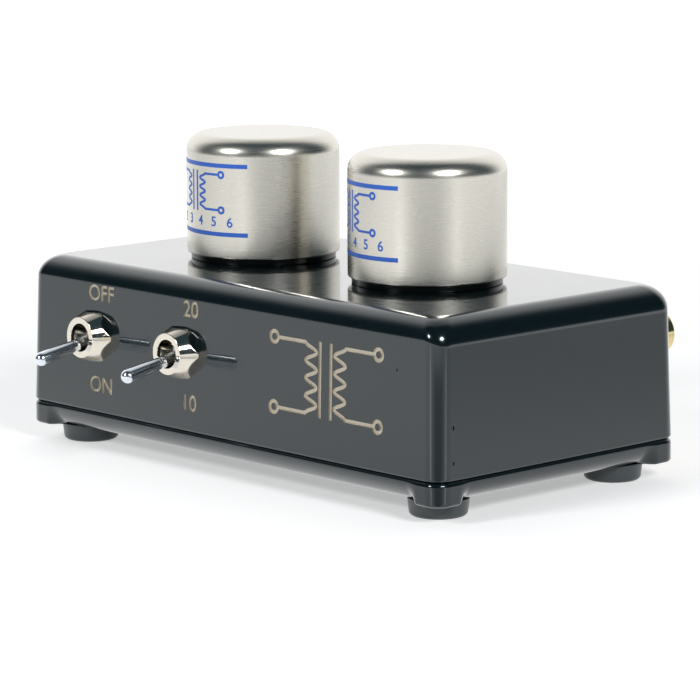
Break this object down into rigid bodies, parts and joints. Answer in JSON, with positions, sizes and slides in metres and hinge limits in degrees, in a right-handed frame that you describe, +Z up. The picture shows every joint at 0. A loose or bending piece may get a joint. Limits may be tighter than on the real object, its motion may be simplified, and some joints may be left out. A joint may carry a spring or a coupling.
{
  "type": "moving coil step-up transformer",
  "caption": "Black die-cast box on rubber feet with round nickel shielding cans on top, toggle switches in front and gold phono jacks behind; raises a phono cartridge's signal.",
  "frame": {"origin": "on the table under the middle of the object's overall box, levers and ground post included", "axes": "+X along the box towards the right seen from the switches, +Y away from the switches, +Z up"},
  "size_m": [0.112, 0.0866, 0.0592],
  "materials": {
    "black_powder_coat": "gloss",
    "screw_steel": "satin",
    "foot_rubber": "matte",
    "satin_nickel": "satin",
    "gasket_rubber": "matte",
    "can_alloy": "satin",
    "core_alloy": "matte",
    "bobbin_nylon": "matte",
    "copper_wire": "gloss",
    "zinc_steel": "satin",
    "red_wire": "satin",
    "white_wire": "satin",
    "green_wire": "satin",
    "switch_plastic": "gloss",
    "tinned_brass": "satin",
    "contact_silver": "polished",
    "bright_chrome": "polished",
    "white_insulator": "satin",
    "washer_plastic": "matte",
    "gold_plate": "polished"
  },
  "bodies": {
    "chassis": {"chassis_box": "black_powder_coat", "base_lid": "black_powder_coat", "lid_screws": "screw_steel", "rubber_feet": "foot_rubber", "left_can": "satin_nickel", "left_gasket": "gasket_rubber", "left_base_disc": "can_alloy", "left_core": "core_alloy", "left_bobbin": "bobbin_nylon", "left_winding": "copper_wire", "left_neck_washer": "zinc_steel", "left_neck_nut": "zinc_steel", "left_leads": "red_wire", "right_can": "satin_nickel", "right_gasket": "gasket_rubber", "right_base_disc": "can_alloy", "right_core": "core_alloy", "right_bobbin": "bobbin_nylon", "right_winding": "copper_wire", "right_neck_washer": "zinc_steel", "right_neck_nut": "zinc_steel", "right_leads": "red_wire", "ground_switch_bushing": "bright_chrome", "ground_switch_case": "switch_plastic", "ground_switch_dress_nut": "bright_chrome", "ground_switch_back_nut": "bright_chrome", "ground_switch_terminals": "tinned_brass", "gain_switch_bushing": "bright_chrome", "gain_switch_case": "switch_plastic", "gain_switch_dress_nut": "bright_chrome", "gain_switch_back_nut": "bright_chrome", "gain_switch_terminals": "tinned_brass", "left_input_shell": "gold_plate", "left_input_insulator": "white_insulator", "left_input_contact": "gold_plate", "right_input_shell": "gold_plate", "right_input_insulator": "white_insulator", "right_input_contact": "gold_plate", "left_output_shell": "gold_plate", "left_output_insulator": "white_insulator", "left_output_contact": "gold_plate", "right_output_shell": "gold_plate", "right_output_insulator": "white_insulator", "right_output_contact": "gold_plate", "jack_washers": "washer_plastic", "jack_tags": "tinned_brass", "jack_nuts": "gold_plate", "ground_post_stud": "gold_plate", "ground_post_tag": "tinned_brass", "ground_post_nut": "gold_plate", "output_wires": "white_wire", "ground_wire": "green_wire"},
    "ground_lever": {"ground_switch_lever": "bright_chrome"},
    "ground_rocker": {"ground_switch_rocker": "contact_silver"},
    "gain_lever": {"gain_switch_lever": "bright_chrome"},
    "gain_rockers": {"gain_switch_rockers": "contact_silver"},
    "clamp_washer": {"ground_post_clamp_washer": "gold_plate"},
    "thumb_nut": {"ground_post_thumb_nut": "gold_plate"}
  },
  "joints": [
    {"name": "ground_switch_throw", "type": "hinge", "parent": "chassis", "child": "ground_lever", "pos_m": [-0.0366, -0.02761, 0.02194], "axis": [-1, 0, 0], "range_deg": [0, 25]},
    {"name": "ground_switch_rock", "type": "hinge", "parent": "chassis", "child": "ground_rocker", "pos_m": [-0.0366, -0.01781, 0.02169], "axis": [1, 0, 0], "range_deg": [0, 20.2]},
    {"name": "gain_switch_throw", "type": "hinge", "parent": "chassis", "child": "gain_lever", "pos_m": [-0.0116, -0.02761, 0.02194], "axis": [-1, 0, 0], "range_deg": [0, 25]},
    {"name": "gain_switch_rock", "type": "hinge", "parent": "chassis", "child": "gain_rockers", "pos_m": [-0.0116, -0.01781, 0.02169], "axis": [1, 0, 0], "range_deg": [0, 20.2]},
    {"name": "clamp_washer_slide", "type": "slide", "parent": "chassis", "child": "clamp_washer", "axis": [0, 0.9997, 0.0262], "range_m": [0, 0.0028]},
    {"name": "thumb_nut_turn", "type": "hinge", "parent": "clamp_washer", "child": "thumb_nut", "pos_m": [0, 0.03029, 0.0236], "axis": [0, 0.9997, 0.0262], "range_deg": [0, 1261]}
  ],
  "couplings": [
    {"joint": "ground_switch_rock", "follows": "ground_switch_throw", "ratio": 0.8},
    {"joint": "gain_switch_rock", "follows": "gain_switch_throw", "ratio": 0.8},
    {"joint": "thumb_nut_turn", "follows": "clamp_washer_slide", "rad_per_m": 7854}
  ]
}
